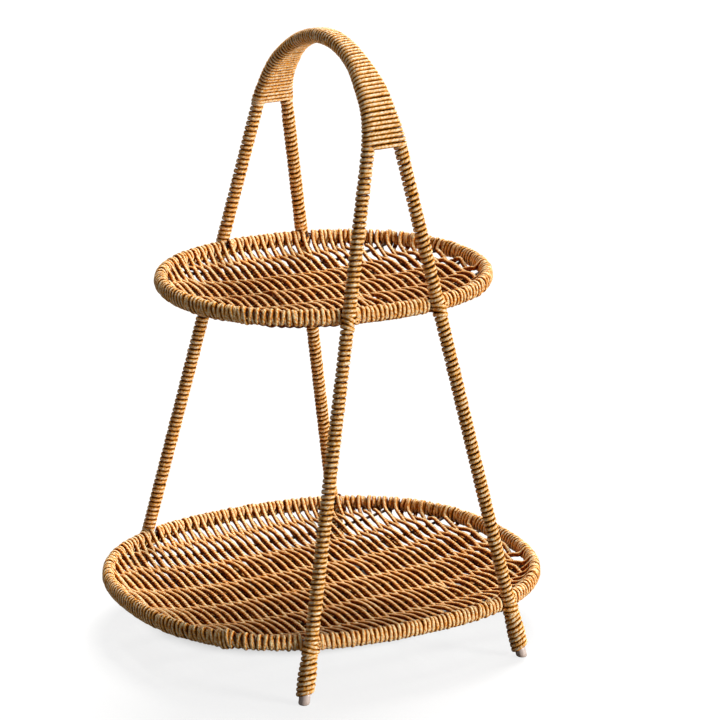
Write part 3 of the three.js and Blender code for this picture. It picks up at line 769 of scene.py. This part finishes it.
def set_in_place(tray, points):
    """Turns points of a tray by its lean about X, then lifts them to its level."""
    lean = np.radians(tray["tilt"])
    x, y, z = np.moveaxis(points, -1, 0)
    turned = [x, y * np.cos(lean) - z * np.sin(lean), y * np.sin(lean) + z * np.cos(lean)]
    return np.stack(turned, axis=-1) + np.array([0, tray["shift"], tray["level"]])


def turn_only(tray, vectors):
    """A tray's directions, leaned with it."""
    return set_in_place(tray, vectors) - np.array([0, tray["shift"], tray["level"]])


def oval_half_width(tray, x, inset=0.0):
    """Half width at x of the rim's superellipse, or of one whose half sizes are smaller
    by inset: the power of x over the half length is taken from 1, and its root kept."""
    half_length = tray["half_length"] - inset
    half_width = tray["half_width"] - inset
    return half_width * (1 - (np.abs(x) / half_length) ** tray["power"]) ** (1 / tray["power"])


def oval_normal(tray, x, y):
    """Outward direction of the rim's superellipse at a point."""
    power = tray["power"] - 1
    along = np.sign(x) * (np.abs(x) / tray["half_length"]) ** power / tray["half_length"]
    over = np.sign(y) * (np.abs(y) / tray["half_width"]) ** power / tray["half_width"]
    return unit(np.stack([along, over, 0 * along], axis=-1))


def dish_level(tray, x, y):
    """Level of the rib wires: flat in the middle, rising as a power of the reach."""
    power = tray["power"]
    reach = (np.abs(x) / tray["half_length"]) ** power + (np.abs(y) / tray["half_width"]) ** power
    reach = np.minimum(1, reach ** (1 / power))
    return -RIB_DROP - tray["dip"] * (1 - reach**WALL_CURVE)


def smooth(share):
    """A smooth step: 0 below 0, 1 above 1, and a cubic that is level at both ends between."""
    share = np.clip(share, 0, 1)
    return share * share * (3 - 2 * share)


def strand_places(tray):
    """Where strands lie along X, and where each meets the rim: a point on an oval set in
    from the hoop, with the hoop's outward direction there."""
    reach = tray["half_length"] - RIM_INSET - OVAL_END_GAP
    count = int(reach / STRAND_PITCH)
    x = np.arange(-count, count + 1) * STRAND_PITCH + STRAND_SHIFT
    x = x[np.abs(x) < reach]
    y = oval_half_width(tray, x, RIM_INSET)
    return x, y, oval_normal(tray, x, y)


def strand_offsets(tray, along, reach, step):
    """How far a strand is above or below the dish. It passes the hoop and each rib on
    opposite sides in turn, and swings between them as a cosine."""
    count = tray["ribs"]
    ribs = (np.arange(count) - (count - 1) / 2) * 2 * tray["half_width"] / (count + 1)
    side = step * np.where(np.arange(count) % 2 == 0, 1.0, -1.0)
    near = np.abs(ribs) < reach - RIB_CLEARANCE
    ribs, side = ribs[near], side[near]
    if len(ribs) == 0:
        ribs, side = np.zeros(1), np.array([step])
    places = np.concatenate([[-reach], ribs, [reach]])
    sides = np.concatenate([[-side[0]], side, [-side[-1]]])
    heights = sides * OVER_RIB
    for k in (0, -1):
        heights[k] = OVER_HOOP if sides[k] > 0 else UNDER_HOOP
    before = np.clip(np.searchsorted(places, along, side="right") - 1, 0, len(places) - 2)
    share = (along - places[before]) / (places[before + 1] - places[before])
    swing = np.cos(np.pi * np.clip(share, 0, 1))
    middle = (heights[before] + heights[before + 1]) / 2
    return middle + swing * (heights[before] - heights[before + 1]) / 2, sides[0], sides[-1]


def strand_lines(tray, x, y, normal, step, at_leg, rng):
    """Centre lines of the strands, front end to back end, and which way they face.
    A strand that comes over the hoop goes down outside it, and one that comes under it
    goes up outside and over: both follow an ellipse round the hoop's cross-section."""
    count = len(x)
    share = np.linspace(-1, 1, BODY_STEPS)
    along = y[:, None] * share
    reach = y + RIM_INSET * np.abs(normal[:, 1])
    found = [strand_offsets(tray, *one) for one in zip(along, reach, step)]
    offset = np.stack([one[0] for one in found])
    end_sides = {-1: np.array([one[1] for one in found]), 1: np.array([one[2] for one in found])}
    to_rim = y[:, None] * (1 - np.abs(share))
    fade = smooth(to_rim / STILL_AT_RIM)
    sway = np.stack([drift(BODY_STEPS, *SWAY, rng) for _ in range(count)])
    heave = np.stack([drift(BODY_STEPS, *HEAVE, rng) for _ in range(count)])
    across = x[:, None] + sway * fade
    for at_x, at_y, push in tray["loose"]:
        # Strands near a loose place bow aside and rise, fading as a bell curve
        near = -(((x[:, None] - at_x) / LOOSE_X) ** 2) - ((along - at_y) / LOOSE_Y) ** 2
        near = np.exp(near)
        across = across + push * near
        heave = heave + LOOSE_RISE * np.abs(push) * near * np.sign(step)[:, None]
    level = dish_level(tray, across, along) + offset + heave * fade
    body = np.stack([across, along, level], axis=-1)

    def round_hoop(sign):
        """From the dish's edge round the hoop, over it first or under it first."""
        over = end_sides[sign][:, None] > 0
        onward = np.linspace(0, 1, LOOP_STEPS)[None, :]
        stop = np.where(at_leg[:, None], TURN_AT_LEG, 1.0)
        over_turn = OVER_START + OVER_TURN * onward * stop
        under_turn = UNDER_START + UNDER_TURN * onward * stop
        turn = np.radians(np.where(over, over_turn, under_turn))
        inner = np.where(np.sin(turn) < 0, INNER_REACH, 0.0)
        wider = 1 + rng.normal(0, LOOP_VARIES, count)[:, None]
        out = RIM_INSET + (LOOP_REACH + inner * over) * wider * np.sin(turn)
        outward = normal * np.array([1, sign, 1])
        lean = rng.normal(0, LOOP_LEAN, count)[:, None] * np.cos(turn)
        sideways = np.stack([-outward[:, 1], outward[:, 0], 0 * x], axis=-1)
        foot = np.stack([x, sign * y, 0 * x], axis=-1)
        points = foot[:, None, :] + outward[:, None, :] * out[..., None]
        points = points + sideways[:, None, :] * lean[..., None]
        points[..., 2] = -LOOP_DROP + (LOOP_HEIGHT + OVER_RISE * over) * wider * np.cos(turn)
        facing = outward[:, None, :] * np.sin(turn)[..., None]
        facing[..., 2] = np.cos(turn)
        return points, facing

    front, front_facing = round_hoop(-1)
    rear, rear_facing = round_hoop(1)
    line = np.concatenate([front[:, ::-1], body[:, 1:-1], rear], axis=1)
    upward = np.broadcast_to([0.0, 0.0, 1.0], body[:, 1:-1].shape)
    facing = np.concatenate([front_facing[:, ::-1], upward, rear_facing], axis=1)
    for _ in range(3):
        line[:, 1:-1] = (line[:, :-2] + 2 * line[:, 1:-1] + line[:, 2:]) / 4
        facing[:, 1:-1] = (facing[:, :-2] + 2 * facing[:, 1:-1] + facing[:, 2:]) / 4
    swell = 1 + STRAND_SWELL * smooth((to_rim - SWELL_FROM) / SWELL_REACH)
    near_end = smooth(np.abs(x) / tray["half_length"] * END_SLOPE - END_START)
    swell = swell + (np.where(x < 0, LEFT_SWELL, RIGHT_SWELL) * near_end)[:, None]
    far_back = smooth((body[..., 1] - SLIM_Y) / SLIM_REACH)
    swell = swell - BACK_SLIM * far_back * smooth((x[:, None] - SLIM_X) / SLIM_REACH)
    ends = np.ones((count, LOOP_STEPS))
    swell = np.concatenate([ends, swell[:, 1:-1], ends], axis=1)
    return set_in_place(tray, line), turn_only(tray, unit(facing)), swell


woven_cord = cord_finish(
    "woven_cord", WOVEN_COLOURS, hollow=0.10, twist=0.20, pale_lift=0.12, band=RIM_BAND
)


def leg_contact(tray):
    """Distance from the middle, along X, at which the legs touch the hoop: where the rod
    is at the hoop's level, less its way along X from the hoop."""
    spread = half_spread(np.array(tray["level"]))
    normal = oval_normal(tray, spread, oval_half_width(tray, spread))
    return float(spread - LEG_TO_HOOP * normal[..., 0])


for number, (tray_name, tray) in enumerate(TRAYS.items()):
    x, y, normal = strand_places(tray)
    hoop_x = x + normal[:, 0] * RIM_INSET
    at_leg = np.abs(np.abs(hoop_x) - leg_contact(tray)) < LEG_BLOCKS
    step = np.where(np.arange(len(x)) % 2 == 0, 1.0, -1.0)
    for group, sign in (("first", 1), ("second", -1)):
        chosen = step == sign
        rng = np.random.default_rng(STRAND_SEED + 10 * number + sign)
        line, facing, swell = strand_lines(
            tray, x[chosen], y[chosen], normal[chosen], step[chosen], at_leg[chosen], rng
        )
        piece = cord_piece(
            f"{tray_name}_strands_{group}",
            line,
            facing,
            STRAND_HALF_WIDTH * swell,
            STRAND_HALF_THICKNESS * swell,
            woven_cord,
            sides=9,
        )
        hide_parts(f"{tray_name}_weave")
        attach(piece, "root")


# ---- Rim windings ----
# Cord wound over the hoop and over the strands' ends, turn against turn, in four
# stretches between the legs. Between two strands there is one turn, or more at the ends.

RIM_SEED = 70
LOOP_HALF_WIDTH, LOOP_HALF_THICKNESS = 1.18, 1.12
RIM_PITCH, LEAST_PITCH = 2.7, 1.2
# How far a turn slants along the hoop, and how much more at the ends of a tray
RIM_SLANT, RIM_END_SLANT = 0.3, 1.1
CLEAR_OF_LEG = 4.2
# A turn this near a strand's end covers it: it lies closer to the hoop there, and more
# so inside the rim
COVER_REACH, COVER_SUNK, INNER_SUNK = 0.3, 0.75, 0.7
# How unevenly the turns lie along the hoop, and how unevenly they slant, reach out and
# stand up: steps between changes, and their size
ALONG_WANDER = 0.10
SLANT_WANDER, REACH_WANDER, HEIGHT_WANDER = (40, 0.3), (13, 0.07), (17, 0.14)
# A raised loop: its reach along the hoop, and how much further out and up it stands
KNOB_REACH, KNOB_OUT, KNOB_UP = 2.2, 0.6, 1.5


def hoop_line(tray):
    """The hoop's middle as a fine closed line, with its outward directions and lengths."""
    angle = np.linspace(0, 2 * np.pi, 6001)
    power = 2 / tray["power"]
    x = tray["half_length"] * np.sign(np.cos(angle)) * np.abs(np.cos(angle)) ** power
    y = tray["half_width"] * np.sign(np.sin(angle)) * np.abs(np.sin(angle)) ** power
    length = np.concatenate([[0], np.cumsum(np.hypot(np.diff(x), np.diff(y)))])
    return np.stack([x, y, 0 * x], axis=-1), oval_normal(tray, x, y), length


def nearest_length(points, lengths, wanted):
    """The length along the hoop of its point that is nearest to each wanted one."""
    gaps = np.linalg.norm(points[None, :, :2] - wanted[:, None, :2], axis=-1)
    return lengths[gaps.argmin(axis=1)]


def turn_places(ends, start, stop):
    """Lengths along the hoop of the turns: at each strand's end, and evenly between."""
    inside = np.sort(ends[(ends > start) & (ends < stop)])
    marks = np.concatenate([[start], inside, [stop]])
    spans = [
        np.linspace(first, last, max(1, round((last - first) / RIM_PITCH)), endpoint=False)
        for first, last in zip(marks[:-1], marks[1:])
    ]
    places = np.concatenate([*spans, [stop]])
    places = places[np.concatenate([[True], np.diff(places) > LEAST_PITCH])]
    covered = np.abs(places[:, None] - inside[None, :]).min(axis=1) < COVER_REACH
    return places, covered


def rim_line(tray, hoop, outward, lengths, places, covered, rng):
    """Centre line wound round the hoop: an ellipse in the hoop's cross-section, carried
    along it from one turn's place to the next."""
    steps_per_turn = 22
    count = (len(places) - 1) * steps_per_turn + 1
    turn = np.arange(count) / steps_per_turn
    angle = 2 * np.pi * turn
    at = np.interp(turn, np.arange(len(places)), places)
    at = at + drift(count, steps_per_turn, ALONG_WANDER, rng)
    girth = lengths[-1]
    far = np.abs(np.interp(at % girth, lengths, hoop[:, 0])) / tray["half_length"]
    slant = RIM_SLANT + RIM_END_SLANT * far**5 + drift(count, *SLANT_WANDER, rng)
    at = at - slant * np.cos(angle)
    middle = np.stack([np.interp(at % girth, lengths, hoop[:, k]) for k in range(3)], axis=-1)
    facing = np.stack([np.interp(at % girth, lengths, outward[:, k]) for k in range(3)], axis=-1)
    sunk = np.interp(turn, np.arange(len(places)), np.where(covered, COVER_SUNK, 0.0))
    inner = np.clip(-np.sin(angle), 0, 1)
    reach = LOOP_REACH - sunk * (1 + INNER_SUNK * inner) + drift(count, *REACH_WANDER, rng)
    height = LOOP_HEIGHT - sunk + drift(count, *HEIGHT_WANDER, rng)
    for knob_x, knob_y in tray["knobs"]:
        # A loop that was pulled up stands above the rest, fading as a bell curve
        away = (middle[:, 0] - knob_x) ** 2 + (middle[:, 1] - knob_y) ** 2
        near = np.exp(-away / KNOB_REACH**2)
        reach = reach + KNOB_OUT * near
        height = height + KNOB_UP * near
    line = middle + facing * (reach * np.sin(angle))[:, None]
    line[:, 2] += height * np.cos(angle) - LOOP_DROP
    crest = facing * (np.sin(angle) / LOOP_REACH)[:, None]
    crest[:, 2] += np.cos(angle) / LOOP_HEIGHT
    return set_in_place(tray, line), turn_only(tray, unit(crest))


for number, (tray_name, tray) in enumerate(TRAYS.items()):
    hoop, outward, lengths = hoop_line(tray)
    girth = lengths[-1]
    x, y, normal = strand_places(tray)
    ends = [
        np.stack([x, sign * y, 0 * x], -1) + RIM_INSET * normal * np.array([1, sign, 1])
        for sign in (-1, 1)
    ]
    ends = nearest_length(hoop, lengths, np.concatenate(ends))
    ends = np.concatenate([ends, ends + girth])
    contact = leg_contact(tray)
    reach = oval_half_width(tray, contact)
    marks = np.array([[contact, reach], [-contact, reach], [-contact, -reach], [contact, -reach]])
    marks = nearest_length(hoop, lengths, marks)
    stretches = zip(("back", "left", "front", "right"), marks, [*marks[1:], marks[0] + girth])
    for stretch, (side_name, start, stop) in enumerate(stretches):
        rng = np.random.default_rng(RIM_SEED + 10 * number + stretch)
        places, covered = turn_places(ends, start + CLEAR_OF_LEG, stop - CLEAR_OF_LEG)
        line, crest = rim_line(tray, hoop, outward, lengths, places, covered, rng)
        piece = cord_piece(
            f"{tray_name}_rim_winding_{side_name}",
            line[None],
            crest[None],
            LOOP_HALF_WIDTH,
            LOOP_HALF_THICKNESS,
            wound_cord,
            rows=16,
        )
        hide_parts(f"{tray_name}_rim_wrap_{side_name}")
        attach(piece, "root")


# ---- Lashings ----
# Where a leg passes a rim, the leg's own cord is carried slantwise round rod and hoop a
# few times, which binds them together. It leaves a small loop beside the leg, made here
# as a closed ring, and then goes on down the leg.

LASH_SEED = 90
LASH_HALF_WIDTH, LASH_HALF_THICKNESS = 1.3, 0.9
# How far in front of the rod's middle the slanting turns pass, and the powers that round
# their oval along and across
LASH_FRONT, LASH_SIDE_POWER, LASH_DEPTH_POWER = 3.4, 0.8, 0.9
# The leg's own turns inside the lashing: from how far below its middle to how far above
TURNS_BELOW, CLEAR_OF_LASHING, TURNS_ABOVE = 0.5, 6.5, 0.6
# Way along a leg over which its direction is taken
AXIS_STEP = 5
# The ring: its radius, half its cord's width, and how far beside and out from the rod's
# middle it stands, and how far below the lashing's middle on each tray
EYE_RADIUS, EYE_CORD, EYE_BESIDE, EYE_OUT = 1.0, 0.95, 4.3, 1.2
EYE_LOW = {"lower": -1.0, "upper": 1.6}
# The slanting turns: tilts in degrees, lifts, half widths and half depths in mm
LASH_TURNS = {
    "lower": dict(
        tilts=[10, 6, 4],
        lifts=[-0.6, -3.0, -5.6],
        spreads=[3.3, 4.7, 3.7],
        depths=[5.1, 5.1, 3.5],
    ),
    "upper": dict(
        tilts=[24, 27, 14],
        lifts=[-0.6, -3.2, -5.6],
        spreads=[3.1, 3.15, 3.2],
        depths=[5.1, 5.1, 3.3],
    ),
}


def lashing_eye(leg_at, axis, across, outward, low):
    """A small closed ring beside a leg: a circle in the plane of the across direction and
    the leg's axis, so that it stands flat against the rim."""
    angle = np.linspace(0, 2 * np.pi, 25)[:, None]
    centre = leg_at + across * EYE_BESIDE + outward * EYE_OUT - axis * low
    facing = np.broadcast_to(outward, (1, 25, 3))
    return (centre + EYE_RADIUS * (across * np.cos(angle) + axis * np.sin(angle)))[None], facing


def lashing_rings(leg_at, axis, tangent, outward, tilts, lifts, spreads, depths):
    """Closed turns round a leg and the hoop behind it. Each is a rounded oval in a plane
    tilted about the outward direction, deep enough to hold both."""
    steps = 40
    angle = np.linspace(0, 2 * np.pi, steps + 1)[None, :]
    tilt = np.radians(tilts)[:, None]
    depth = np.array(depths)[:, None]
    centre = leg_at - outward * (depth[..., None] - LASH_FRONT)
    along = tangent * np.cos(tilt)[..., None] + axis * np.sin(tilt)[..., None]
    over = np.sign(np.cos(angle)) * np.abs(np.cos(angle)) ** LASH_SIDE_POWER
    side = over * np.array(spreads)[:, None]
    out = depth * np.sign(np.sin(angle)) * np.abs(np.sin(angle)) ** LASH_DEPTH_POWER
    line = centre + along * side[..., None]
    line = line + outward * out[..., None]
    line = line + axis * np.array(lifts)[:, None, None]
    crest = along * np.cos(angle)[..., None] + outward * np.sin(angle)[..., None]
    return line, unit(crest)


for number, (leg, side, end) in enumerate(legs):
    for tray_name, tray in TRAYS.items():
        lowest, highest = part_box(f"{tray_name}_lashing_{leg}")
        level = (lowest.z + highest.z) / 2 * MM_IN_METRE
        rng = np.random.default_rng(LASH_SEED + number)
        leg_at = leg_point(side, end, np.array(level))
        axis = unit(leg_point(side, end, np.array(level + AXIS_STEP)) - leg_at)
        hoop_facing = oval_normal(tray, leg_at[0], leg_at[1])
        tangent = unit(np.cross(hoop_facing, axis))
        outward = np.cross(axis, tangent)
        rings, crests = lashing_rings(leg_at, axis, tangent, outward, **LASH_TURNS[tray_name])
        line, facing = wound_leg(
            side, end, level - TURNS_BELOW, level + CLEAR_OF_LASHING + TURNS_ABOVE, rng
        )
        turns = cord_piece(
            f"{tray_name}_lashing_turns_{leg}",
            line[None],
            facing[None],
            CORD_HALF_WIDTH,
            CORD_HALF_THICKNESS,
            wound_cord,
        )
        slanting = cord_piece(
            f"{tray_name}_lashing_cord_{leg}",
            rings,
            crests,
            LASH_HALF_WIDTH,
            LASH_HALF_THICKNESS,
            wound_cord,
        )
        across = tangent * np.sign(tangent[0])
        ring, ring_facing = lashing_eye(leg_at, axis, across, outward, EYE_LOW[tray_name])
        eye = cord_piece(
            f"{tray_name}_lashing_eye_{leg}",
            ring,
            ring_facing,
            EYE_CORD,
            EYE_CORD,
            wound_cord,
            sides=8,
        )
        for made in (turns, slanting, eye):
            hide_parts(f"{tray_name}_lashing_{leg}")
            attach(made, "root")
